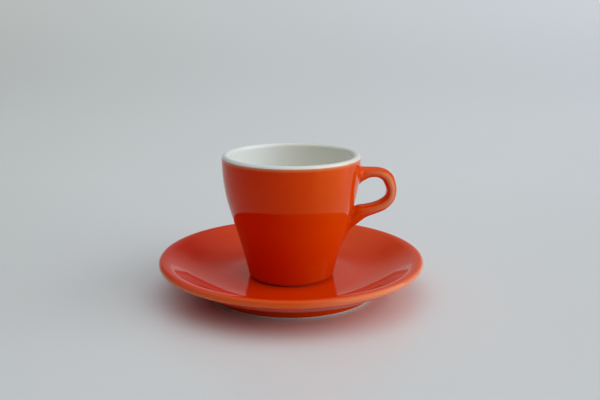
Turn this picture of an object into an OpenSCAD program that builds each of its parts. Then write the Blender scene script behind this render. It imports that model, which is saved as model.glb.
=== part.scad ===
// Espresso cup standing on its saucer, both in glazed porcelain.
// The origin is the middle of the saucer's foot on the table, +Z is up, the handle points along +X.
// Heights in the cup's own sections are counted from the cup's foot.

/* [Cup] */
// Outer diameter of the rim
cup_rim_d = 64.4; // [58:0.2:76]
// Outer diameter of the wall where it would reach the foot's level
cup_base_d = 40; // [36:0.2:50]
// Height from the foot to the top of the lip
cup_h = 58.6; // [50:0.2:74]
// Thickness of the wall, glaze on both sides included
cup_wall = 3.4; // [2.4:0.1:4.6]
// Thickness of the floor over the hollow, glaze on both sides included
cup_floor = 4.2; // [3:0.1:7]
// Radius between the inside of the wall and the floor
cup_inner_round = 9; // [4:0.5:12]
// Radius of the wall's bottom corner
cup_base_round = 1.4; // [0.8:0.1:2.4]
// Angle above the horizontal at which the white ends on the lip's outer side
cup_lip_wrap = 19; // [5:1:60]

/* [Cup foot] */
// Width of the foot ring
cup_foot_w = 2.8; // [1.8:0.1:4.5]
// Flat margin between the bottom corner and the foot ring
cup_foot_step = 0.3; // [0.1:0.1:1.5]
// Height of the bottom corner above the saucer
cup_foot_h = 0.9; // [0.5:0.1:1.6]
// Depth of the hollow inside the foot ring
cup_hollow = 1.8; // [1:0.1:3]
// Radius on the foot ring's edges
cup_foot_round = 0.4; // [0.1:0.1:0.7]

/* [Handle] */
// Distance of the ear's middle line from the wall, at its widest
handle_out = 16.5; // [13:0.1:22]
// Height of the upper arm's middle line
handle_high = 50; // [46:0.2:51]
// Height at which the lower arm has sunk into the wall
handle_low = 12; // [9:0.2:16]
// Thickness of the arm, seen from the side
handle_t = 4.5; // [3.6:0.1:6]
// Width of the arm, across the side view
handle_w = 8.6; // [6:0.1:11]

/* [Saucer] */
// Outer diameter
saucer_d = 125; // [114:0.5:150]
// Thickness, glaze on both sides included
saucer_wall = 3.4; // [2.8:0.1:4.4]
// Diameter of the flat well that the cup stands in
saucer_well_d = 64; // [54:0.5:76]
// Height of the well above the table
saucer_well_h = 6.8; // [5.4:0.1:9]
// Angle of the dish's slope
saucer_rise = 32; // [24:0.5:40]
// Radius of the sweep from the well up to the slope
saucer_sweep_r = 40; // [20:1:60]
// Radius of the curve from the slope to the top of the rim
saucer_lip_r = 4.3; // [3:0.1:7]

/* [Saucer foot] */
// Outer diameter of the foot ring
saucer_foot_d = 82; // [76:0.5:92]
// Width of the foot ring
saucer_foot_w = 3.4; // [2.4:0.1:5]
// Radius between the foot ring and the underside
saucer_foot_fillet = 1.2; // [0.5:0.1:2]
// Radius on the foot ring's edges
saucer_foot_round = 0.7; // [0.2:0.1:1]
// Height of the bare band at the bottom of the foot ring
saucer_bare_h = 1.1; // [1:0.1:1.6]

/* [Glaze] */
// Thickness of every coat of glaze
glaze = 0.35; // [0.2:0.05:0.45]

/* [Hidden] */

$fn = 96;
arc_steps = 8;
wall_steps = 18;
handle_steps = 4;
handle_sides = 16;

porcelain_colour = "whitesmoke";
white_colour = "white";
orange_colour = [0.80, 0.20, 0.06];

// Where the wall lies between the base's radius and the rim's, at equal steps up to the lip
wall_shares = [0, 0.18, 0.395, 0.62, 0.84, 0.963, 1];

// The ear from its upper root round to the lower one. Each row holds the middle line's distance from the
// wall, its height, the arm's thickness and the arm's width, as shares of the handle's sizes
handle_shares = [
    [-0.12, 0.98, 2.90, 1.25],
    [0.00, 0.98, 2.20, 1.15],
    [0.10, 0.985, 1.45, 1.05],
    [0.27, 0.995, 1.15, 1.00],
    [0.50, 1.00, 1.05, 1.00],
    [0.71, 0.97, 1.05, 1.00],
    [0.88, 0.90, 1.05, 1.00],
    [0.98, 0.78, 1.05, 1.00],
    [0.98, 0.67, 1.10, 1.00],
    [0.85, 0.585, 1.20, 1.00],
    [0.63, 0.54, 1.25, 1.00],
    [0.41, 0.51, 1.40, 1.05],
    [0.20, 0.46, 1.65, 1.10],
    [0.07, 0.37, 1.40, 1.05],
    [0.00, 0.24, 1.00, 0.95],
    [-0.04, 0.12, 0.75, 0.75],
    [-0.08, 0.00, 0.50, 0.50]
];
// How far the arm's section is from a plain ellipse: 1 is an ellipse, less is squarer
section_power = 0.85;

// Cup
lip_r = cup_wall / 2;
lip_centre = [cup_rim_d / 2 - lip_r, cup_h - lip_r];
floor_top = cup_hollow + cup_floor;
corner_lean = wall_lean(cup_foot_h + cup_base_round);
corner_z = cup_foot_h + cup_base_round * (1 - sin(corner_lean));
corner_centre = [wall_r(corner_z) - cup_base_round * cos(corner_lean), cup_foot_h + cup_base_round];
inner_lean = wall_lean(floor_top + cup_inner_round);
inner_z = floor_top + cup_inner_round * (1 - sin(inner_lean));
inner_centre = [
    wall_r(inner_z) - cup_wall - cup_inner_round * cos(inner_lean),
    floor_top + cup_inner_round
];
cup_ring_r = corner_centre[0] - cup_foot_step;

// Saucer
rise_cos = cos(saucer_rise);
rise_sin = sin(saucer_rise);
well_r = saucer_well_d / 2;
saucer_foot_r = saucer_foot_d / 2;
roll_r = (saucer_wall - saucer_lip_r * (1 - rise_cos)) / (1 + rise_cos);
crest_r = saucer_d / 2 - roll_r;
sweep_r = min(saucer_sweep_r, (crest_r - well_r) / rise_sin - saucer_lip_r);
sweep_centre = [well_r, saucer_well_h + sweep_r];
slope_run = crest_r - well_r - (sweep_r + saucer_lip_r) * rise_sin;
crest_h = saucer_well_h + (sweep_r + saucer_lip_r) * (1 - rise_cos) + slope_run * tan(saucer_rise);
fillet_reach = sweep_r + saucer_wall + saucer_foot_fillet;
fillet_centre_r = saucer_foot_r + saucer_foot_fillet;
fillet_centre = [
    fillet_centre_r,
    sweep_centre[1] - sqrt(pow(fillet_reach, 2) - pow(fillet_centre_r - well_r, 2))
];
fillet_angle = atan2(sweep_centre[1] - fillet_centre[1], well_r - fillet_centre_r);
recess_h = saucer_well_h - saucer_wall;

// Points along an arc, both ends included
function arc(centre, r, from, to) = [
    for (i = [0:arc_steps])
        let (a = from + (to - from) * i / arc_steps)
            centre + r * [cos(a), sin(a)]
];

// The same points in the other order
function backwards(points) = [for (i = [len(points) - 1:-1:0]) points[i]];

// A smooth curve through four rows, from the second to the third as t goes from 0 to 1
function between(a, b, c, d, t) =
    (2 * b + (c - a) * t + (2 * a - 5 * b + 4 * c - d) * t * t + (3 * b - a - 3 * c + d) * t * t * t) / 2;

// The wall's outer radius at a height: it leans outward at the base and stands upright at the lip
function wall_r(z) =
    let (
        last = len(wall_shares) - 1,
        u = last * min(max(z / lip_centre[1], 0), 1),
        i = min(floor(u), last - 1),
        before = i == 0 ? 2 * wall_shares[0] - wall_shares[1] : wall_shares[i - 1],
        after = i == last - 1 ? wall_shares[last - 1] : wall_shares[i + 2]
    )
    (cup_base_d + (cup_rim_d - cup_base_d) * between(before, wall_shares[i], wall_shares[i + 1], after, u - i)) / 2;

// The wall's lean from the vertical at a height
function wall_lean(z) = atan2(wall_r(z + glaze) - wall_r(z - glaze), 2 * glaze);

// The wall's points from one height to another, moved inward by an inset
function wall_points(from, to, inset) = [
    for (i = [0:wall_steps])
        let (z = from + (to - from) * i / wall_steps)
            [wall_r(z) - inset, z]
];

// Inside of the cup from the middle of the floor up to where the white ends on the lip
function cup_inside(inset) = concat(
    [[0, floor_top - inset]],
    arc(inner_centre, cup_inner_round + inset, -90, -inner_lean),
    wall_points(inner_z + glaze, lip_centre[1] - glaze, cup_wall - inset),
    arc(lip_centre, lip_r - inset, 180, cup_lip_wrap)
);

// Outside of the cup from where the white ends down to the bottom corner
function cup_outside(inset) = concat(
    arc(lip_centre, lip_r - inset, cup_lip_wrap, 0),
    wall_points(lip_centre[1] - glaze, corner_z + glaze, inset),
    arc(corner_centre, cup_base_round - inset, -corner_lean, -90)
);

// Foot ring and the hollow inside it
function ring_points(outer_r, width, height, ceiling, round) = concat(
    [[outer_r, height]],
    arc([outer_r - round, round], round, 0, -90),
    arc([outer_r - width + round, round], round, -90, -180),
    [[outer_r - width, ceiling], [0, ceiling]]
);

// Top of the saucer from the middle of the well over the rim, down the underside to the bare band
function saucer_surface(inset) = concat(
    [[0, saucer_well_h - inset]],
    arc(sweep_centre, sweep_r + inset, -90, saucer_rise - 90),
    arc([crest_r, crest_h - saucer_lip_r], saucer_lip_r - inset, 90 + saucer_rise, 90),
    arc([crest_r, crest_h - roll_r], roll_r - inset, 90, saucer_rise - 90),
    arc(sweep_centre, sweep_r + saucer_wall - inset, saucer_rise - 90, fillet_angle - 180),
    arc(fillet_centre, saucer_foot_fillet + inset, fillet_angle, 180),
    [[saucer_foot_r - inset, saucer_bare_h]]
);

// A coat as a ring-shaped skin between its face and the body under it
module coat(face, body) {
    rotate_extrude() polygon(concat(face, backwards(body)));
}

// A flat coat on the ceiling of a foot's hollow
module hollow_coat(r, ceiling) {
    translate([0, 0, ceiling]) cylinder(r = r, h = glaze);
}

// Lifts the cup's parts from their own foot to the well of the saucer
module on_the_well() {
    translate([0, 0, saucer_well_h]) children();
}

// The middle line of the ear with its thickness and width, row by row
function handle_row(i) =
    let (
        row = handle_shares[i],
        z = handle_low + (handle_high - handle_low) * row[1]
    )
    [wall_r(z) + handle_out * row[0], z, handle_t * row[2], handle_w * row[3]];

handle_rows = [for (i = [0:len(handle_shares) - 1]) handle_row(i)];
last_row = len(handle_rows) - 1;

function handle_line(i, t) =
    between(
        i == 0 ? 2 * handle_rows[0] - handle_rows[1] : handle_rows[i - 1],
        handle_rows[i],
        handle_rows[i + 1],
        i == last_row - 1 ? 2 * handle_rows[last_row] - handle_rows[last_row - 1] : handle_rows[i + 2],
        t
    );

handle_path = concat(
    [for (i = [0:last_row - 1], s = [0:handle_steps - 1]) handle_line(i, s / handle_steps)],
    [handle_rows[last_row]]
);

// A power that keeps the sign, which makes the section a rounded oblong
function soft_power(x) = sign(x) * pow(abs(x), section_power);

// One ring of the arm's section, square to the middle line
function handle_ring(k) =
    let (
        here = handle_path[k],
        along = handle_path[min(k + 1, len(handle_path) - 1)] - handle_path[max(k - 1, 0)],
        size = norm([along[0], along[1]]),
        out = [-along[1], along[0]] / size
    )
    [
        for (j = [0:handle_sides - 1])
            let (
                a = 360 * j / handle_sides,
                rise = here[2] / 2 * soft_power(sin(a)),
                side = here[3] / 2 * soft_power(cos(a))
            )
            [here[0] + out[0] * rise, side, here[1] + out[1] * rise]
    ];

// The whole ear, with both roots still running on inside the wall
module handle_sweep() {
    rings = len(handle_path);
    sides = handle_sides;
    points = [for (k = [0:rings - 1]) each handle_ring(k)];
    skin = [
        for (k = [0:rings - 2], j = [0:sides - 1])
            let (
                a = k * sides + j,
                b = k * sides + (j + 1) % sides
            )
            each [[a, b, b + sides], [a, b + sides, a + sides]]
    ];
    first = [for (j = [1:sides - 2]) [0, j + 1, j]];
    top = (rings - 1) * sides;
    final = [for (j = [1:sides - 2]) [top, top + j, top + j + 1]];
    polyhedron(concat(points), concat(skin, first, final), convexity = 6);
}

// White porcelain dish with its foot ring
module saucer_body() {
    color(porcelain_colour)
        rotate_extrude()
            polygon(concat(
                saucer_surface(glaze),
                ring_points(
                    saucer_foot_r - glaze,
                    saucer_foot_w - glaze,
                    saucer_bare_h,
                    recess_h + glaze,
                    saucer_foot_round
                )
            ));
}

// Orange coat over the dish, the rim and the underside, and a second one inside the foot ring
module saucer_glaze() {
    color(orange_colour) {
        coat(saucer_surface(0), saucer_surface(glaze));
        hollow_coat(saucer_foot_r - saucer_foot_w, recess_h);
    }
}

// White porcelain wall, floor and foot ring of the cup
module cup_body() {
    color(porcelain_colour)
        on_the_well()
            rotate_extrude()
                polygon(concat(
                    cup_inside(glaze),
                    cup_outside(glaze),
                    ring_points(cup_ring_r, cup_foot_w, cup_foot_h + glaze, cup_hollow + glaze, cup_foot_round)
                ));
}

// White coat inside the cup, drawn over the lip
module cup_liner_glaze() {
    color(white_colour)
        on_the_well()
            coat(cup_inside(0), cup_inside(glaze));
}

// Orange coat outside, and one inside the foot ring
module cup_outer_glaze() {
    color(orange_colour)
        on_the_well() {
            coat(cup_outside(0), cup_outside(glaze));
            hollow_coat(cup_ring_r - cup_foot_w, cup_hollow);
        }
}

// Ear handle, seated on the glazed wall at both roots
module cup_handle() {
    color(orange_colour)
        on_the_well()
            difference() {
                handle_sweep();
                rotate_extrude()
                    polygon(concat([[0, cup_h]], cup_outside(0), [[0, cup_foot_h]]));
            }
}

saucer_body();
saucer_glaze();
cup_body();
cup_liner_glaze();
cup_outer_glaze();
cup_handle();
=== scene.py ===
import math

import bmesh
import bpy
from mathutils import Euler, Matrix, Vector
from mathutils.bvhtree import BVHTree


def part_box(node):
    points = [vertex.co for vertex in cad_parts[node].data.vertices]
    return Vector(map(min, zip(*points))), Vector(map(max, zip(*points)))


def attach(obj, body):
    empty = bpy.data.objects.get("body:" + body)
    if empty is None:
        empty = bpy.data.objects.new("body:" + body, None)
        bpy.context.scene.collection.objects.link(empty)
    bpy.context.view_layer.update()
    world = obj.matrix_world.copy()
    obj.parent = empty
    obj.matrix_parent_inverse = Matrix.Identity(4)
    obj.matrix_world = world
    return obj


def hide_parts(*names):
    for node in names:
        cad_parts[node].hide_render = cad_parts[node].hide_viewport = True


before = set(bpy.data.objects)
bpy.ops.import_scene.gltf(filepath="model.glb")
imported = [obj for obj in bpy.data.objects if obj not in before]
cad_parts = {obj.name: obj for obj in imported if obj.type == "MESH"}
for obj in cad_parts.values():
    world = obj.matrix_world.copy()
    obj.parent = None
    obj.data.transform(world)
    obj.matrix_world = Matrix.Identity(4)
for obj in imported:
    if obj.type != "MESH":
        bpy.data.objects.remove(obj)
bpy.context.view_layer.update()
mm = 0.001

# The studio: a pale satin table that sweeps up behind into the backdrop, a large window to the right and
# the camera a forearm away, a little above the lip of the cup.
camera_place = Vector((0, -331.25, 124.23)) * mm
camera_pitch = math.radians(13.74)
camera_yaw = math.radians(0.71)
camera_roll = math.radians(0.11)
camera_data = bpy.data.cameras.new("camera")
camera_data.lens = 43.5
camera_data.sensor_width = 36
camera_data.clip_start = 0.01
camera = bpy.data.objects.new("camera", camera_data)
aimed = Euler((math.pi / 2 - camera_pitch, 0, -camera_yaw)).to_matrix()
turned = aimed @ Matrix.Rotation(camera_roll, 3, "Z")
camera.matrix_world = Matrix.Translation(camera_place) @ turned.to_4x4()
bpy.context.collection.objects.link(camera)
bpy.context.scene.camera = camera

table_width, table_near, table_far = 6.0, -2.5, 0.6
sweep_radius, sweep_turn = 2.0, math.radians(27)
sweep_steps = 24
bpy.ops.object.select_all(action="DESELECT")
bpy.ops.mesh.primitive_plane_add(size=1, location=(0, (table_near + table_far) / 2, 0))
table = bpy.context.object
table.name = "table_sweep"
table.scale = (table_width, table_far - table_near, 1)
bpy.ops.object.transform_apply(location=True, rotation=False, scale=True)
bpy.ops.object.mode_set(mode="EDIT")
bpy.ops.mesh.select_all(action="DESELECT")
bpy.ops.mesh.select_mode(type="EDGE")
sheet = bmesh.from_edit_mesh(table.data)
for edge in sheet.edges:
    edge.select = all(vertex.co.y > table_far - mm for vertex in edge.verts)
bmesh.update_edit_mesh(table.data)
for step in range(sweep_steps):
    low, high = (sweep_turn * n / sweep_steps for n in (step, step + 1))
    run = sweep_radius * (math.sin(high) - math.sin(low))
    rise = sweep_radius * (math.cos(low) - math.cos(high))
    bpy.ops.mesh.extrude_region_move(TRANSFORM_OT_translate={"value": (0, run, rise)})
bpy.ops.object.mode_set(mode="OBJECT")
bpy.ops.object.shade_smooth()

# Painted light and shade: the table's colour is darker and warmer on its left, and lighter and cooler on its
# right and towards the back. It stands in for the light of the window and the room.
shaded_left_end, lit_right_end = -0.6, 0.5
back_light_near, back_light_far, back_light_low, back_light_high = -0.12, 0.25, 0.98, 1.08
satin = bpy.data.materials.new("satin_table")
satin.use_nodes = True
nodes, links = satin.node_tree.nodes, satin.node_tree.links
shader = nodes["Principled BSDF"]
place = nodes.new("ShaderNodeTexCoord")
spread = nodes.new("ShaderNodeSeparateXYZ")
links.new(place.outputs["Object"], spread.inputs["Vector"])
table_side_light = nodes.new("ShaderNodeMapRange")
table_side_light.inputs["From Min"].default_value = shaded_left_end
table_side_light.inputs["From Max"].default_value = lit_right_end
links.new(spread.outputs["X"], table_side_light.inputs["Value"])
tone = nodes.new("ShaderNodeValToRGB")
tone.color_ramp.elements[0].color = (0.83, 0.84, 0.80, 1)
tone.color_ramp.elements[1].color = (0.85, 0.88, 0.90, 1)
links.new(table_side_light.outputs["Result"], tone.inputs["Fac"])
# Painted light: the table's colour grows lighter towards the back.
painted_back_light = nodes.new("ShaderNodeMapRange")
painted_back_light.inputs["From Min"].default_value = back_light_near
painted_back_light.inputs["From Max"].default_value = back_light_far
painted_back_light.inputs["To Min"].default_value = back_light_low
painted_back_light.inputs["To Max"].default_value = back_light_high
links.new(spread.outputs["Y"], painted_back_light.inputs["Value"])
painted_light_colour = nodes.new("ShaderNodeVectorMath")
painted_light_colour.operation = "SCALE"
links.new(tone.outputs["Color"], painted_light_colour.inputs[0])
links.new(painted_back_light.outputs["Result"], painted_light_colour.inputs["Scale"])
links.new(painted_light_colour.outputs["Vector"], shader.inputs["Base Color"])
shader.inputs["Roughness"].default_value = 0.3
shader.inputs["IOR"].default_value = 1.55
table.data.materials.append(satin)

window = bpy.data.lights.new("window_right", "AREA")
window.shape = "RECTANGLE"
window.size, window.size_y = 3.0, 2.2
window.energy = 39
window.color = (0.98, 0.99, 1.0)
window_object = bpy.data.objects.new("window_right", window)
window_place, window_aim = Vector((2.0, -0.6, 0.95)), Vector((0, 0, 0.03))
window_object.location = window_place
window_object.rotation_euler = (window_aim - window_place).to_track_quat("-Z", "Y").to_euler()
bpy.context.collection.objects.link(window_object)

# The room is dim low down, fullest overhead, and pale straight behind the table.
world = bpy.data.worlds.new("studio_air")
world.use_nodes = True
nodes, links = world.node_tree.nodes, world.node_tree.links
place, split = nodes.new("ShaderNodeTexCoord"), nodes.new("ShaderNodeSeparateXYZ")
links.new(place.outputs["Generated"], split.inputs["Vector"])
room_low, room_overhead, room_behind = 0.05, 1.0, 0.36
overhead_start, overhead_full, behind_start = 0.42, 1.05, 0.75
overhead = nodes.new("ShaderNodeMapRange")
overhead.interpolation_type = "SMOOTHSTEP"
overhead.inputs["From Min"].default_value = overhead_start
overhead.inputs["From Max"].default_value = overhead_full
overhead.inputs["To Min"].default_value = room_low
overhead.inputs["To Max"].default_value = room_low + room_overhead
links.new(split.outputs["Z"], overhead.inputs["Value"])
behind = nodes.new("ShaderNodeMapRange")
behind.interpolation_type = "SMOOTHSTEP"
behind.inputs["From Min"].default_value = behind_start
behind.inputs["From Max"].default_value = 1
behind.inputs["To Max"].default_value = room_behind
links.new(split.outputs["Y"], behind.inputs["Value"])
glow = nodes.new("ShaderNodeMath")
links.new(overhead.outputs["Result"], glow.inputs[0])
links.new(behind.outputs["Result"], glow.inputs[1])
# Seen directly, past the edges of the table, the room has the table's own pale tone.
seen_tone = 0.5
rays, seen = nodes.new("ShaderNodeLightPath"), nodes.new("ShaderNodeMix")
links.new(rays.outputs["Is Camera Ray"], seen.inputs["Factor"])
links.new(glow.outputs["Value"], seen.inputs["A"])
seen.inputs["B"].default_value = seen_tone
links.new(seen.outputs["Result"], nodes["Background"].inputs["Strength"])
nodes["Background"].inputs["Color"].default_value = (0.92, 0.96, 1.0, 1)
bpy.context.scene.world = world
bpy.context.scene.view_settings.view_transform = "Standard"

# Saucer body: one pressed dish of white porcelain with a low foot ring. The foot's last millimetre is left
# bare, so that the dish doesn't stick to the kiln shelf, and it alone shows from the side.
saucer_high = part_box("saucer_glaze")[1]
saucer_radius = saucer_high.x
saucer_wall, well_radius, well_height = 3.4 * mm, 32 * mm, 6.8 * mm
slope = math.radians(29.5)
sweep, lip_curve, roll = 40 * mm, 8 * mm, 1.75 * mm
foot_radius, foot_width, foot_fillet, foot_round = 41 * mm, 3.4 * mm, 1.2 * mm, 0.7 * mm
bare_band, coat = 1.1 * mm, 0.35 * mm
crest_radius, crest_height = saucer_radius - roll, saucer_high.z
# The dish's slope touches the curve out of its well and the curve over its lip.
lip_drop = well_height + sweep - crest_height + lip_curve
dish_radius = crest_radius + (lip_drop * math.cos(slope) - sweep - lip_curve) / math.sin(slope)
# The underside's slope touches the same curve, one wall lower, and the roll of the rim.
well_to_roll = Vector((crest_radius - well_radius, well_height + sweep - crest_height + roll))
under_slope = math.atan2(*well_to_roll) - math.acos((sweep + saucer_wall - roll) / well_to_roll.length)
fillet_place = Vector((foot_radius + foot_fillet, 0))
fillet_drop = math.sqrt((sweep + saucer_wall + foot_fillet) ** 2 - (fillet_place.x - well_radius) ** 2)
fillet_place.y = well_height + sweep - fillet_drop
fillet_turn = math.atan2(fillet_drop, well_radius - fillet_place.x)
turn_steps, curve_steps, fine_steps, corner_steps = 144, 12, 24, 6
shortest_step, weld, crease = 0.02 * mm, 0.002 * mm, math.radians(32)
# A flat middle is drawn from a ring at this share of its radius.
first_ring_share = 0.25


def curve(centre, radius, start, end, steps=curve_steps):
    """Points along an arc in the (radius, height) plane, both ends included."""
    turn = [start + (end - start) * n / steps for n in range(steps + 1)]
    return [(centre[0] + radius * math.cos(a), centre[1] + radius * math.sin(a)) for a in turn]


def jiggered(name, outline, ends_on_axis=True):
    """Turns (radius, height) points about the upright axis, ring by ring, into a closed piece."""
    points = [outline[0]]
    for point in outline[1:]:
        if math.dist(point, points[-1]) > shortest_step:
            points.append(point)
    if not ends_on_axis:
        points.append(points[0])
    bpy.ops.object.select_all(action="DESELECT")
    radius, height = points[0]
    bpy.ops.mesh.primitive_circle_add(vertices=turn_steps, radius=radius, location=(0, 0, height))
    piece = bpy.context.object
    piece.name = name
    bpy.ops.object.transform_apply(location=True, rotation=False, scale=False)
    bpy.ops.object.mode_set(mode="EDIT")
    bpy.ops.mesh.select_mode(type="EDGE")
    bpy.ops.mesh.select_all(action="SELECT")
    if ends_on_axis:
        bpy.ops.mesh.extrude_region_move()
        bpy.ops.transform.resize(value=(0, 0, 1), center_override=(0, 0, height))
        bpy.ops.mesh.select_all(action="DESELECT")
        rim = bmesh.from_edit_mesh(piece.data)
        for edge in rim.edges:
            edge.select = all(vertex.co.xy.length > radius / 2 for vertex in edge.verts)
        bmesh.update_edit_mesh(piece.data)
    for (old_radius, old_height), (radius, height) in zip(points, points[1:]):
        share = radius / old_radius
        bpy.ops.mesh.extrude_region_move(TRANSFORM_OT_translate={"value": (0, 0, height - old_height)})
        bpy.ops.transform.resize(value=(share, share, 1), center_override=(0, 0, height))
    if ends_on_axis:
        bpy.ops.mesh.extrude_region_move()
        bpy.ops.transform.resize(value=(0, 0, 1), center_override=(0, 0, height))
    bpy.ops.mesh.select_all(action="SELECT")
    bpy.ops.mesh.remove_doubles(threshold=weld)
    bpy.ops.mesh.normals_make_consistent(inside=False)
    bpy.ops.object.mode_set(mode="OBJECT")
    bpy.ops.object.shade_smooth_by_angle(angle=crease)
    return piece


def saucer_face(inset):
    """The dish from the middle of its well over the rim and down the underside to the bare band."""
    well = (well_radius, well_height + sweep)
    underside = sweep + saucer_wall - inset
    down = -math.pi / 2
    return (
        [(dish_radius * first_ring_share, well_height - inset)]
        + curve((dish_radius, well_height + sweep), sweep + inset, down, slope + down, fine_steps)
        + curve((crest_radius, crest_height - lip_curve), lip_curve - inset, slope - down, -down)
        + curve((crest_radius, crest_height - roll), roll - inset, -down, under_slope + down, fine_steps)
        + curve(well, underside, under_slope + down, fillet_turn - math.pi, fine_steps)
        + curve(fillet_place, foot_fillet + inset, fillet_turn, math.pi)
        + [(foot_radius - inset, bare_band)]
    )


def foot_ring(outer, width, ceiling, rounding):
    """A foot ring's bare bottom and the hollow inside it."""
    down = -math.pi / 2
    return (
        curve((outer - rounding, rounding), rounding, 0, down)
        + curve((outer - width + rounding, rounding), rounding, down, 2 * down)
        + [(outer - width, ceiling), (outer * first_ring_share, ceiling)]
    )


saucer_body = jiggered(
    "saucer_body_porcelain",
    saucer_face(coat)
    + foot_ring(foot_radius - coat, foot_width - coat, well_height - saucer_wall + coat, foot_round),
)

# Fine bare porcelain: warm white, matt, with the faint grain that a kiln shelf leaves on a foot.
bare = bpy.data.materials.new("bare_porcelain")
bare.use_nodes = True
nodes, links = bare.node_tree.nodes, bare.node_tree.links
shader = nodes["Principled BSDF"]
place = nodes.new("ShaderNodeTexCoord")
grain = nodes.new("ShaderNodeTexNoise")
grain.inputs["Scale"].default_value = 900
grain.inputs["Detail"].default_value = 4
links.new(place.outputs["Object"], grain.inputs["Vector"])
tone = nodes.new("ShaderNodeValToRGB")
tone.color_ramp.elements[0].position = 0.35
tone.color_ramp.elements[0].color = (0.70, 0.66, 0.60, 1)
tone.color_ramp.elements[1].position = 0.62
tone.color_ramp.elements[1].color = (0.86, 0.84, 0.79, 1)
links.new(grain.outputs["Fac"], tone.inputs["Fac"])
links.new(tone.outputs["Color"], shader.inputs["Base Color"])
bump = nodes.new("ShaderNodeBump")
bump.inputs["Strength"].default_value = 0.25
bump.inputs["Distance"].default_value = 0.04 * mm
links.new(grain.outputs["Fac"], bump.inputs["Height"])
links.new(bump.outputs["Normal"], shader.inputs["Normal"])
shader.inputs["Roughness"].default_value = 0.62
saucer_body.data.materials.append(bare)
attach(saucer_body, "saucer")
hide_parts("saucer_body")

# Saucer glaze: an orange lead-free gloss that the dish is dipped in. It is 0.35 mm thick, wraps the rim and
# the underside, and stops in a soft edge above the bare foot. It is lighter on the rim, partly where it
# thins there and partly as a painted highlight.
glaze_edge = 0.12 * mm
edge_in_share, edge_down_share = 0.3, 0.75


def soft_edge(outer, inner):
    """The rounded end of a coat between a point on its face and the point under it."""
    middle = (outer[0] + inner[0]) / 2
    down = glaze_edge * edge_down_share
    return [(radius + (middle - radius) * edge_in_share, height - down) for radius, height in (outer, inner)]


face, under = saucer_face(0), saucer_face(coat)
face[-1] = (face[-1][0], bare_band + glaze_edge)
under[-1] = (under[-1][0], bare_band + glaze_edge)
saucer_glaze = jiggered("saucer_orange_glaze", face + soft_edge(face[-1], under[-1]) + under[::-1])

# The same glaze pools in the hollow inside the foot ring.
recess_ceiling, recess_radius = well_height - saucer_wall, foot_radius - foot_width
saucer_hollow_glaze = jiggered(
    "saucer_hollow_glaze",
    [(recess_radius * first_ring_share, recess_ceiling)]
    + curve((recess_radius - coat, recess_ceiling + coat), coat, -math.pi / 2, 0, corner_steps)
    + [(recess_radius * first_ring_share, recess_ceiling + coat)],
)


def noise_field(name, scale, detail):
    """A group that gives a smooth mask over the piece: slow variation as a wet glaze leaves it."""
    group = bpy.data.node_groups.new(name, "ShaderNodeTree")
    scale_socket = group.interface.new_socket("Scale", in_out="INPUT", socket_type="NodeSocketFloat")
    scale_socket.default_value = scale
    group.interface.new_socket("Mask", in_out="OUTPUT", socket_type="NodeSocketFloat")
    start, end = group.nodes.new("NodeGroupInput"), group.nodes.new("NodeGroupOutput")
    where = group.nodes.new("ShaderNodeTexCoord")
    field = group.nodes.new("ShaderNodeTexNoise")
    field.inputs["Detail"].default_value = detail
    group.links.new(where.outputs["Object"], field.inputs["Vector"])
    group.links.new(start.outputs["Scale"], field.inputs["Scale"])
    group.links.new(field.outputs["Fac"], end.inputs["Mask"])
    return group


flow_scale, flow_detail, ripple_scale, ripple_depth = 55, 2, 130, 0.02 * mm
glaze_flow = noise_field("glaze_flow", flow_scale, flow_detail)
# How much of the tone is the slow flow of the coat and not the painted light and shade across X, where the
# tone starts and stops to change, and how far the flow varies the roughness.
flow_share, thick_share, thin_share = 0.25, 0.1, 0.9
smooth_share, rough_share = 0.8, 1.25
glaze_index = 1.44


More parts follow.
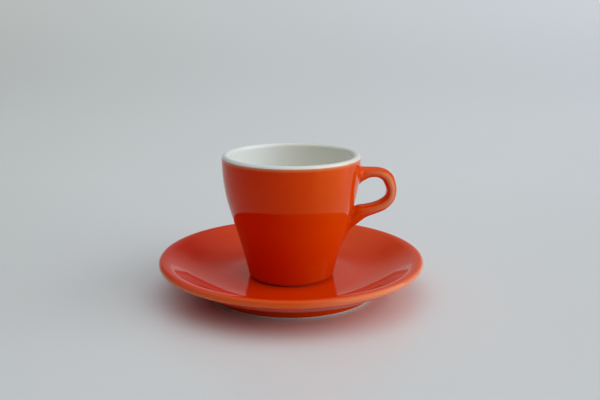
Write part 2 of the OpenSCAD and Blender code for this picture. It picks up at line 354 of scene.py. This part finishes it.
def glaze_material(name, thick, thin, light_span, gleam, roughness, ripple):
    """A gloss over porcelain: its colour drifts partly with the coat's thickness and its face has a faint
    ripple.

    Most of the drift is painted light and shade: the tone changes across X over the given span, between the
    side of the piece that the window on the right lights and its side in shade.
    """
    material = bpy.data.materials.new(name)
    material.use_nodes = True
    nodes, links = material.node_tree.nodes, material.node_tree.links
    shader = nodes["Principled BSDF"]
    flow = nodes.new("ShaderNodeGroup")
    flow.node_tree = glaze_flow
    flow.inputs["Scale"].default_value = flow_scale
    place, split = nodes.new("ShaderNodeTexCoord"), nodes.new("ShaderNodeSeparateXYZ")
    links.new(place.outputs["Object"], split.inputs["Vector"])
    # Painted light and shade: the tone changes across X, between the piece's lit and shaded sides.
    side_light = nodes.new("ShaderNodeMapRange")
    side_light.interpolation_type = "SMOOTHSTEP"
    side_light.inputs["From Min"].default_value, side_light.inputs["From Max"].default_value = light_span
    links.new(split.outputs["X"], side_light.inputs["Value"])
    drift = nodes.new("ShaderNodeMix")
    drift.inputs["Factor"].default_value = flow_share
    links.new(side_light.outputs["Result"], drift.inputs["A"])
    links.new(flow.outputs["Mask"], drift.inputs["B"])
    # The ramp runs from the tone at -X to the tone at +X, and the slow flow of the coat moves it a little.
    tone = nodes.new("ShaderNodeValToRGB")
    tone.name = "thickness_and_light_tone"
    tone.color_ramp.elements[0].position = thick_share
    tone.color_ramp.elements[0].color = (*thick, 1)
    tone.color_ramp.elements[1].position = thin_share
    tone.color_ramp.elements[1].color = (*thin, 1)
    links.new(drift.outputs["Result"], tone.inputs["Fac"])
    links.new(tone.outputs["Color"], shader.inputs["Base Color"])
    skin = nodes.new("ShaderNodeGroup")
    skin.node_tree = glaze_flow
    skin.inputs["Scale"].default_value = ripple_scale
    bump = nodes.new("ShaderNodeBump")
    bump.inputs["Strength"].default_value = ripple
    bump.inputs["Distance"].default_value = ripple_depth
    links.new(skin.outputs["Mask"], bump.inputs["Height"])
    links.new(bump.outputs["Normal"], shader.inputs["Normal"])
    gloss = nodes.new("ShaderNodeMapRange")
    gloss.inputs["To Min"].default_value = roughness * smooth_share
    gloss.inputs["To Max"].default_value = roughness * rough_share
    links.new(flow.outputs["Mask"], gloss.inputs["Value"])
    links.new(gloss.outputs["Result"], shader.inputs["Roughness"])
    shader.inputs["IOR"].default_value = glaze_index
    shader.inputs["Specular Tint"].default_value = (*gleam, 1)
    return material


# Painted light and shade: the deeper orange goes on each piece's left side, in shade, and the brighter
# orange on its right side, lit by the window. The slow flow of the coat moves between the same two tones.
orange_shaded_thick, orange_lit_thin, orange_gleam = (0.80, 0.013, 0), (0.84, 0.070, 0), (1, 0.80, 0.18)
saucer_light_span = (-1.6 * saucer_radius, 1.6 * saucer_radius)
orange = glaze_material(
    "orange_glaze", orange_shaded_thick, orange_lit_thin, saucer_light_span, orange_gleam, roughness=0.07, ripple=0.05
)
lighter_power = 2


def lighter_edge(material, measure, start, end, tint):
    """Lets a glaze break to a lighter tone over an edge, as a measure goes from start to end."""
    nodes, links = material.node_tree.nodes, material.node_tree.links
    near = nodes.new("ShaderNodeMapRange")
    near.inputs["From Min"].default_value = start
    near.inputs["From Max"].default_value = end
    links.new(measure, near.inputs["Value"])
    lighter_share = nodes.new("ShaderNodeMath")
    lighter_share.operation = "POWER"
    lighter_share.inputs[1].default_value = lighter_power
    links.new(near.outputs["Result"], lighter_share.inputs[0])
    mix = nodes.new("ShaderNodeMix")
    mix.data_type = "RGBA"
    mix.inputs["B"].default_value = (*tint, 1)
    shader, tone = nodes["Principled BSDF"], nodes["thickness_and_light_tone"]
    links.new(lighter_share.outputs["Value"], mix.inputs["Factor"])
    links.new(tone.outputs["Color"], mix.inputs["A"])
    links.new(mix.outputs["Result"], shader.inputs["Base Color"])
    return mix


# On the dish it is lighter where the rim turns over, at the largest distance from the axis. This is partly
# the glaze thinning there and partly a painted highlight. Across X the rim is paler at both ends and palest
# on the right, which is a painted highlight of the window.
saucer_orange = glaze_material(
    "saucer_orange_glaze",
    orange_shaded_thick,
    orange_lit_thin,
    saucer_light_span,
    orange_gleam,
    roughness=0.07,
    ripple=0.05,
)
rim_tint_share = 0.4
nodes, links = saucer_orange.node_tree.nodes, saucer_orange.node_tree.links
place = nodes.new("ShaderNodeTexCoord")
flat, radius = nodes.new("ShaderNodeVectorMath"), nodes.new("ShaderNodeVectorMath")
flat.operation, radius.operation = "MULTIPLY", "LENGTH"
flat.inputs[1].default_value = (1, 1, 0)
links.new(place.outputs["Object"], flat.inputs[0])
links.new(flat.outputs["Vector"], radius.inputs[0])
rim_start = crest_radius - rim_tint_share * roll
# Partly painted highlight: the rim's outer edge turns to a lighter tone, partly where the glaze thins.
rim_thin_glaze_and_highlight = lighter_edge(
    saucer_orange, radius.outputs["Value"], rim_start, saucer_radius, tint=(0.88, 0.10, 0.02)
)
split, across = nodes.new("ShaderNodeSeparateXYZ"), nodes.new("ShaderNodeMapRange")
links.new(place.outputs["Object"], split.inputs["Vector"])
across.inputs["From Min"].default_value = -saucer_radius
across.inputs["From Max"].default_value = saucer_radius
links.new(split.outputs["X"], across.inputs["Value"])
# Painted highlight: the rim's lighter tone is paler at both ends of X and palest on the right, towards the
# window.
rim_painted_highlight = nodes.new("ShaderNodeValToRGB")
rim_painted_highlight.color_ramp.elements[0].color = (0.90, 0.16, 0.06, 1)
rim_painted_highlight.color_ramp.elements[1].color = (0.92, 0.36, 0.22, 1)
rim_painted_highlight.color_ramp.elements.new(0.5).color = (0.88, 0.10, 0.015, 1)
links.new(across.outputs["Result"], rim_painted_highlight.inputs["Fac"])
links.new(rim_painted_highlight.outputs["Color"], rim_thin_glaze_and_highlight.inputs["B"])
saucer_glaze.data.materials.append(saucer_orange)
saucer_hollow_glaze.data.materials.append(orange)
for piece in (saucer_glaze, saucer_hollow_glaze):
    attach(piece, "saucer")
    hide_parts("saucer_glaze")

# Cup body: white porcelain, jiggered in one piece with its floor and foot ring. Only the ring's bare edge
# shows, as a thin line over the saucer's well.
foot_level = well_height
cup_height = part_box("cup_liner_glaze")[1].z - foot_level
rim_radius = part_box("cup_outer_glaze")[1].x
base_radius, cup_wall, cup_floor, inner_round = 20 * mm, 3.4 * mm, 4.2 * mm, 9 * mm
base_round, hollow = 1.4 * mm, 1.8 * mm
ring_width, ring_step, ring_height, ring_round = 2.8 * mm, 1.2 * mm, 0.9 * mm, 0.4 * mm
white_wrap = math.radians(19)
lip = cup_wall / 2
lip_place = (rim_radius - lip, cup_height - lip)
wall_steps, lip_steps, lip_edge_steps = 40, 18, 4
# Share of the way from the base's radius to the rim's, at equal steps of height.
wall_shares = (0, 0.18, 0.395, 0.62, 0.84, 0.963, 1)


def between(a, b, c, d, t):
    """A smooth curve from b to c as t goes from 0 to 1."""
    return (2 * b + (c - a) * t + (2 * a - 5 * b + 4 * c - d) * t**2 + (3 * b - a - 3 * c + d) * t**3) / 2


def wall_radius(height):
    """The cup's outer radius: it leans outward at the base and stands upright at the lip."""
    last = len(wall_shares) - 1
    step = last * min(max(height / lip_place[1], 0), 1)
    n = min(int(step), last - 1)
    before = 2 * wall_shares[0] - wall_shares[1] if n == 0 else wall_shares[n - 1]
    after = wall_shares[last - 1] if n == last - 1 else wall_shares[n + 2]
    share = between(before, wall_shares[n], wall_shares[n + 1], after, step - n)
    return base_radius + (rim_radius - base_radius) * share


def wall_lean(height):
    """The wall's lean from the upright at a height."""
    return math.atan2(wall_radius(height + coat) - wall_radius(height - coat), 2 * coat)


def wall_line(start, end, inset):
    """Points up or down the wall, moved inward by an inset."""
    levels = [start + (end - start) * n / wall_steps for n in range(wall_steps + 1)]
    return [(wall_radius(level) - inset, level) for level in levels]


floor_top = hollow + cup_floor
corner_lean = wall_lean(ring_height + base_round)
corner_top = ring_height + base_round * (1 - math.sin(corner_lean))
corner_place = (wall_radius(corner_top) - base_round * math.cos(corner_lean), ring_height + base_round)
inner_lean = wall_lean(floor_top + inner_round)
inner_top = floor_top + inner_round * (1 - math.sin(inner_lean))
inner_radius = wall_radius(inner_top) - cup_wall - inner_round * math.cos(inner_lean)
inner_place = (inner_radius, floor_top + inner_round)
ring_radius = corner_place[0] - ring_step


def cup_inside(inset):
    """From the middle of the floor up the wall and over the lip to where the white ends."""
    return (
        [(inner_radius * first_ring_share, floor_top - inset)]
        + curve(inner_place, inner_round + inset, -math.pi / 2, -inner_lean)
        + wall_line(inner_top + coat, lip_place[1] - coat, cup_wall - inset)
        + curve(lip_place, lip - inset, math.pi, white_wrap, lip_steps)
    )


def cup_outside(inset):
    """From where the white ends on the lip down the wall and round the bottom corner to the foot ring."""
    return (
        curve(lip_place, lip - inset, white_wrap, 0, lip_edge_steps)
        + wall_line(lip_place[1] - coat, corner_top + coat, inset)
        + curve(corner_place, base_round - inset, -corner_lean, -math.pi / 2)
        + [(ring_radius, ring_height + inset)]
    )


def on_the_well(outline):
    """Raises an outline from the cup's own foot to the saucer's well."""
    return [(radius, height + foot_level) for radius, height in outline]


cup_body = jiggered(
    "cup_body_porcelain",
    on_the_well(
        cup_inside(coat)
        + cup_outside(coat)
        + foot_ring(ring_radius, ring_width, hollow + coat, ring_round)
    ),
)
cup_body.data.materials.append(bare)
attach(cup_body, "cup")
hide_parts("cup_body")

# White liner: a clear gloss over white slip, poured in and drained, so that it runs over the lip and ends on
# its outer side. It hides the porcelain inside the cup.
cup_liner = jiggered(
    "cup_white_liner",
    on_the_well(cup_inside(0) + cup_inside(coat)[::-1]),
)
# Painted light and shade: the liner is a cool white on its left, where the window lights the inside wall,
# and a warm yellowish white on its right, in shade.
white_light_span = (-0.6 * rim_radius, 0.3 * rim_radius)
white_lit_thick, white_shaded_thin, clear_gleam = (0.92, 0.95, 0.94), (0.92, 0.90, 0.79), (1, 1, 1)
white = glaze_material(
    "white_glaze", white_lit_thick, white_shaded_thin, white_light_span, clear_gleam, roughness=0.09, ripple=0.08
)
cup_liner.data.materials.append(white)
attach(cup_liner, "cup")
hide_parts("cup_liner_glaze")

# Orange outer coat: the cup is held by its foot and dipped to the lip, where the orange meets the white in a
# fine soft line. It is glossy enough to mirror the saucer in the lower half of the wall.
cup_outer = jiggered(
    "cup_orange_glaze",
    on_the_well(cup_outside(0) + cup_outside(coat)[::-1]),
    ends_on_axis=False,
)
ring_inside = ring_radius - ring_width
cup_hollow_glaze = jiggered(
    "cup_hollow_glaze",
    on_the_well(
        [(ring_inside * first_ring_share, hollow)]
        + curve((ring_inside - coat, hollow + coat), coat, -math.pi / 2, 0, corner_steps)
        + [(ring_inside * first_ring_share, hollow + coat)]
    ),
)
# The painted light and shade across the cup and its handle runs over this span of X.
cup_light_span = (-0.6 * rim_radius, 0.8 * rim_radius)
cup_orange = glaze_material(
    "cup_orange_glaze", orange_shaded_thick, orange_lit_thin, cup_light_span, orange_gleam, roughness=0.06, ripple=0.04
)
nodes, links = cup_orange.node_tree.nodes, cup_orange.node_tree.links
place, split = nodes.new("ShaderNodeTexCoord"), nodes.new("ShaderNodeSeparateXYZ")
links.new(place.outputs["Object"], split.inputs["Vector"])
white_line = foot_level + lip_place[1] + lip * math.sin(white_wrap)
thinned_band = 2 * mm
edge_tint = lighter_edge(
    cup_orange, split.outputs["Z"], white_line - thinned_band, white_line, tint=(0.90, 0.36, 0.18)
)
# Painted shade: the coat's colour is darkened towards the foot, where the saucer shades the lower wall.
shade_top, shade_tone = foot_level + 30 * mm, 0.80
foot_shade, shaded_colour = nodes.new("ShaderNodeMapRange"), nodes.new("ShaderNodeVectorMath")
foot_shade.interpolation_type = "SMOOTHSTEP"
foot_shade.inputs["From Min"].default_value = foot_level
foot_shade.inputs["From Max"].default_value = shade_top
foot_shade.inputs["To Min"].default_value = shade_tone
links.new(split.outputs["Z"], foot_shade.inputs["Value"])
shaded_colour.operation = "SCALE"
links.new(edge_tint.outputs["Result"], shaded_colour.inputs[0])
links.new(foot_shade.outputs["Result"], shaded_colour.inputs["Scale"])
links.new(shaded_colour.outputs["Vector"], nodes["Principled BSDF"].inputs["Base Color"])
cup_outer.data.materials.append(cup_orange)
cup_hollow_glaze.data.materials.append(orange)
for piece in (cup_outer, cup_hollow_glaze):
    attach(piece, "cup")
    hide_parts("cup_outer_glaze")

# Handle: an ear cast by itself in a two-part mould and luted to the leather-hard wall with slip. The upper
# arm leaves the wall level, the lower one runs down it as a ridge, and the glaze fills the corner round both
# roots.
ear_out, ear_high, ear_low, ear_thick, ear_wide = 16.5 * mm, 50 * mm, 12 * mm, 4.5 * mm, 8.6 * mm
# Each row holds the middle line's distance from the wall, its height, the arm's thickness and the arm's
# width, as shares of those sizes.
ear_shares = (
    (-0.10, 0.975, 2.30, 1.24),
    (0.00, 0.975, 1.98, 1.16),
    (0.09, 0.98, 1.52, 1.06),
    (0.27, 0.995, 1.14, 1.00),
    (0.50, 0.995, 1.06, 1.00),
    (0.70, 0.965, 1.14, 1.00),
    (0.85, 0.90, 1.20, 1.00),
    (0.97, 0.78, 1.08, 1.00),
    (0.97, 0.67, 1.10, 1.00),
    (0.83, 0.59, 1.20, 1.00),
    (0.62, 0.545, 1.22, 1.01),
    (0.41, 0.515, 1.36, 1.04),
    (0.22, 0.48, 1.66, 1.08),
    (0.09, 0.40, 1.44, 1.07),
    (0.01, 0.31, 0.96, 0.96),
    (-0.01, 0.22, 0.70, 0.80),
    (-0.04, 0.13, 0.60, 0.66),
    (-0.09, 0.04, 0.48, 0.52),
)
ring_steps, ear_sides = 10, 36


def ear_row(out, level, thick, wide):
    """A row's place in the handle's upright plane, and the arm's thickness and width there."""
    height = ear_low + (ear_high - ear_low) * level
    place = Vector((wall_radius(height) + ear_out * out, height + foot_level))
    return place, Vector((ear_thick * thick, ear_wide * wide))


def carried_on(end, near):
    """A row one step past an end of the ear, in line with the two rows there."""
    return tuple(2 * a - b for a, b in zip(end, near))


ear_rows = [ear_row(*shares) for shares in ear_shares]
ear_line = [carried_on(ear_rows[0], ear_rows[1]), *ear_rows, carried_on(ear_rows[-1], ear_rows[-2])]


def along_ear(n, t):
    """The place and the section a share of the way from row n to the next."""
    return tuple(between(*(row[part] for row in ear_line[n : n + 4]), t) for part in (0, 1))


# A straight bar comes first, ring by ring, with the ear's section at each length of its middle line.
rings = [along_ear(n, step / ring_steps) for n in range(len(ear_rows) - 1) for step in range(ring_steps)]
rings.append(ear_rows[-1])
bpy.ops.object.select_all(action="DESELECT")
bpy.ops.mesh.primitive_circle_add(vertices=ear_sides, radius=0.5, rotation=(0, math.pi / 2, 0))
ear = bpy.context.object
ear.name = "cup_handle_ear"
bpy.ops.object.transform_apply(location=False, rotation=True, scale=False)
bpy.ops.object.mode_set(mode="EDIT")
bpy.ops.mesh.select_mode(type="EDGE")
bpy.ops.mesh.select_all(action="SELECT")
length = 0
old_place, old_section = rings[0]
bpy.ops.transform.resize(value=(1, *old_section))
for place, section in rings[1:]:
    run = (place - old_place).length
    length += run
    bpy.ops.mesh.extrude_region_move(TRANSFORM_OT_translate={"value": (run, 0, 0)})
    shares = (1, section.x / old_section.x, section.y / old_section.y)
    bpy.ops.transform.resize(value=shares, center_override=(length, 0, 0))
    old_place, old_section = place, section
bpy.ops.mesh.select_all(action="SELECT")
bpy.ops.mesh.fill_holes(sides=0)
bpy.ops.mesh.normals_make_consistent(inside=False)
bpy.ops.object.mode_set(mode="OBJECT")

# Then the bar is bent along the ear's middle line and stood upright.
path = bpy.data.curves.new("ear_path", "CURVE")
path.dimensions = "2D"
path.resolution_u = 32
spline = path.splines.new("BEZIER")
spline.bezier_points.add(len(ear_rows) - 1)
for n, point in enumerate(spline.bezier_points):
    here = ear_line[n + 1][0]
    reach = (ear_line[n + 2][0] - ear_line[n][0]) / 6
    point.handle_left_type = point.handle_right_type = "FREE"
    point.co = (*here, 0)
    point.handle_left = (*(here - reach), 0)
    point.handle_right = (*(here + reach), 0)
path_object = bpy.data.objects.new("ear_path", path)
bpy.context.collection.objects.link(path_object)
bend = ear.modifiers.new("bend", "CURVE")
bend.object = path_object
bend.deform_axis = "POS_X"
bpy.ops.object.modifier_apply(modifier=bend.name)
bpy.data.objects.remove(path_object)
ear.rotation_euler = (math.pi / 2, 0, 0)
bpy.ops.object.transform_apply(location=False, rotation=True, scale=False)

# The corner between the ear and the wall is filled by swelling both faces out to one soft surface.
corner_reach = 1.6 * mm
corner_depth = corner_reach / 4
fill_rounds = 8
ear_sheet = [face.vertices[:] for face in ear.data.polygons if len(face.vertices) == 4]
ear_core = BVHTree.FromPolygons([vertex.co for vertex in ear.data.vertices], ear_sheet)


def gap_to_ear(point):
    """Distance from a point to the plain ear without its ends, less than zero inside it."""
    hit, normal, _, distance = ear_core.find_nearest(point)
    return distance if (point - hit).dot(normal) > 0 else -distance


def gap_to_wall(point):
    """Distance from a point to the cup's wall, less than zero inside it."""
    height = min(point.z - foot_level, lip_place[1])
    return (point.xy.length - wall_radius(height)) * math.cos(wall_lean(height))


def corner_fill(vertex, gap_to_other):
    """How far a point of one face swells out along its normal to the soft surface that rounds the corner."""
    gap = gap_to_other(vertex.co)
    if gap > corner_reach:
        return 0
    if gap < -corner_depth:
        return corner_depth
    fill = 0
    for _ in range(fill_rounds):
        point = vertex.co + vertex.normal * fill
        to_ear, to_wall = gap_to_ear(point), gap_to_wall(point)
        rounding = max(1 - abs(to_ear - to_wall) / corner_reach, 0) ** 2 * corner_depth
        fill += rounding - min(to_ear, to_wall)
        fill = min(max(fill, 0), corner_reach)
    return fill


def swell(piece, amounts):
    """Moves each point of the active piece out along its normal by its own amount."""
    most = max(amounts)
    weights = piece.vertex_groups.new(name="swell")
    for index, amount in enumerate(amounts):
        weights.add([index], amount / most, "REPLACE")
    push = piece.modifiers.new("swell", "DISPLACE")
    push.vertex_group = weights.name
    push.strength = most
    push.mid_level = 0
    bpy.ops.object.modifier_apply(modifier=push.name)


swell(ear, [corner_fill(vertex, gap_to_wall) for vertex in ear.data.vertices])
bpy.ops.object.shade_smooth()

# The wall's side of the corner is a thin pool of slip and glaze that lies on the wall round both roots.
pool_wide, pool_low, pool_high = 17.6 * mm, 9 * mm, lip_place[1] - coat
pool_columns, pool_levels = 72, 190
pool_depth, pool_sunk, pool_edge = 0.25 * mm, 0.004 * mm, 0.002 * mm
pool_crease = math.radians(40)
bpy.ops.object.select_all(action="DESELECT")
bpy.ops.mesh.primitive_grid_add(
    x_subdivisions=pool_columns,
    y_subdivisions=pool_levels,
    size=1,
    location=(2 * rim_radius, 0, foot_level + (pool_low + pool_high) / 2),
    rotation=(math.pi / 2, 0, math.pi / 2),
)
pool = bpy.context.object
pool.name = "cup_handle_root_pool"
pool.scale = (pool_wide, pool_high - pool_low, 1)
bpy.ops.object.transform_apply(location=True, rotation=True, scale=True)
press = pool.modifiers.new("press", "SHRINKWRAP")
press.target = cup_outer
press.wrap_method = "PROJECT"
press.use_project_x = True
press.use_positive_direction = False
press.use_negative_direction = True
bpy.ops.object.modifier_apply(modifier=press.name)
fills = [corner_fill(vertex, gap_to_ear) for vertex in pool.data.vertices]
# The coat is turned in flat facets, so each point also rises from its facet to the true round wall.
swell(pool, [fill - min(gap_to_wall(vertex.co), 0) for fill, vertex in zip(fills, pool.data.vertices)])
bpy.ops.object.mode_set(mode="EDIT")
bpy.ops.mesh.select_mode(type="FACE")
bpy.ops.mesh.select_all(action="SELECT")
bpy.ops.transform.translate(value=(-pool_sunk, 0, 0))
bpy.ops.mesh.select_all(action="DESELECT")
sheet = bmesh.from_edit_mesh(pool.data)
for face in sheet.faces:
    face.select = all(fills[vertex.index] < pool_edge for vertex in face.verts)
bmesh.update_edit_mesh(pool.data)
bpy.ops.mesh.delete(type="FACE")
bpy.ops.object.mode_set(mode="OBJECT")
back = pool.modifiers.new("back", "SOLIDIFY")
back.thickness = pool_depth
back.offset = -1
bpy.ops.object.modifier_apply(modifier=back.name)
bpy.ops.object.shade_smooth_by_angle(angle=pool_crease)

# The strap is lighter where it turns over its two sides, most of all out at the bend towards the window.
# This is partly the glaze thinning there and partly a painted highlight.
ear_orange = glaze_material(
    "handle_orange_glaze", orange_shaded_thick, orange_lit_thin, cup_light_span, orange_gleam, roughness=0.07, ripple=0.05
)
side_start_share, side_full_share, bend_share = 0.40, 0.5, 0.9
nodes, links = ear_orange.node_tree.nodes, ear_orange.node_tree.links
place, split = nodes.new("ShaderNodeTexCoord"), nodes.new("ShaderNodeSeparateXYZ")
links.new(place.outputs["Object"], split.inputs["Vector"])
aside = nodes.new("ShaderNodeMath")
aside.operation = "ABSOLUTE"
links.new(split.outputs["Y"], aside.inputs[0])
side = nodes.new("ShaderNodeMapRange")
side.interpolation_type = "SMOOTHSTEP"
side.inputs["From Min"].default_value = ear_wide * side_start_share
side.inputs["From Max"].default_value = ear_wide * side_full_share
links.new(aside.outputs["Value"], side.inputs["Value"])
reach = nodes.new("ShaderNodeMapRange")
reach.inputs["From Min"].default_value = rim_radius
reach.inputs["From Max"].default_value = rim_radius + ear_out * bend_share
links.new(split.outputs["X"], reach.inputs["Value"])
lighter_share = nodes.new("ShaderNodeMath")
lighter_share.operation = "MULTIPLY"
links.new(side.outputs["Result"], lighter_share.inputs[0])
links.new(reach.outputs["Result"], lighter_share.inputs[1])
# Partly painted highlight: the lighter tone on the strap's sides, strongest out at the bend.
mix = nodes.new("ShaderNodeMix")
mix.data_type = "RGBA"
mix.inputs["B"].default_value = (0.89, 0.31, 0.16, 1)
links.new(lighter_share.outputs["Value"], mix.inputs["Factor"])
links.new(nodes["thickness_and_light_tone"].outputs["Color"], mix.inputs["A"])
links.new(mix.outputs["Result"], nodes["Principled BSDF"].inputs["Base Color"])
for piece in (ear, pool):
    piece.data.materials.append(ear_orange)
    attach(piece, "cup")
    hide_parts("cup_handle")
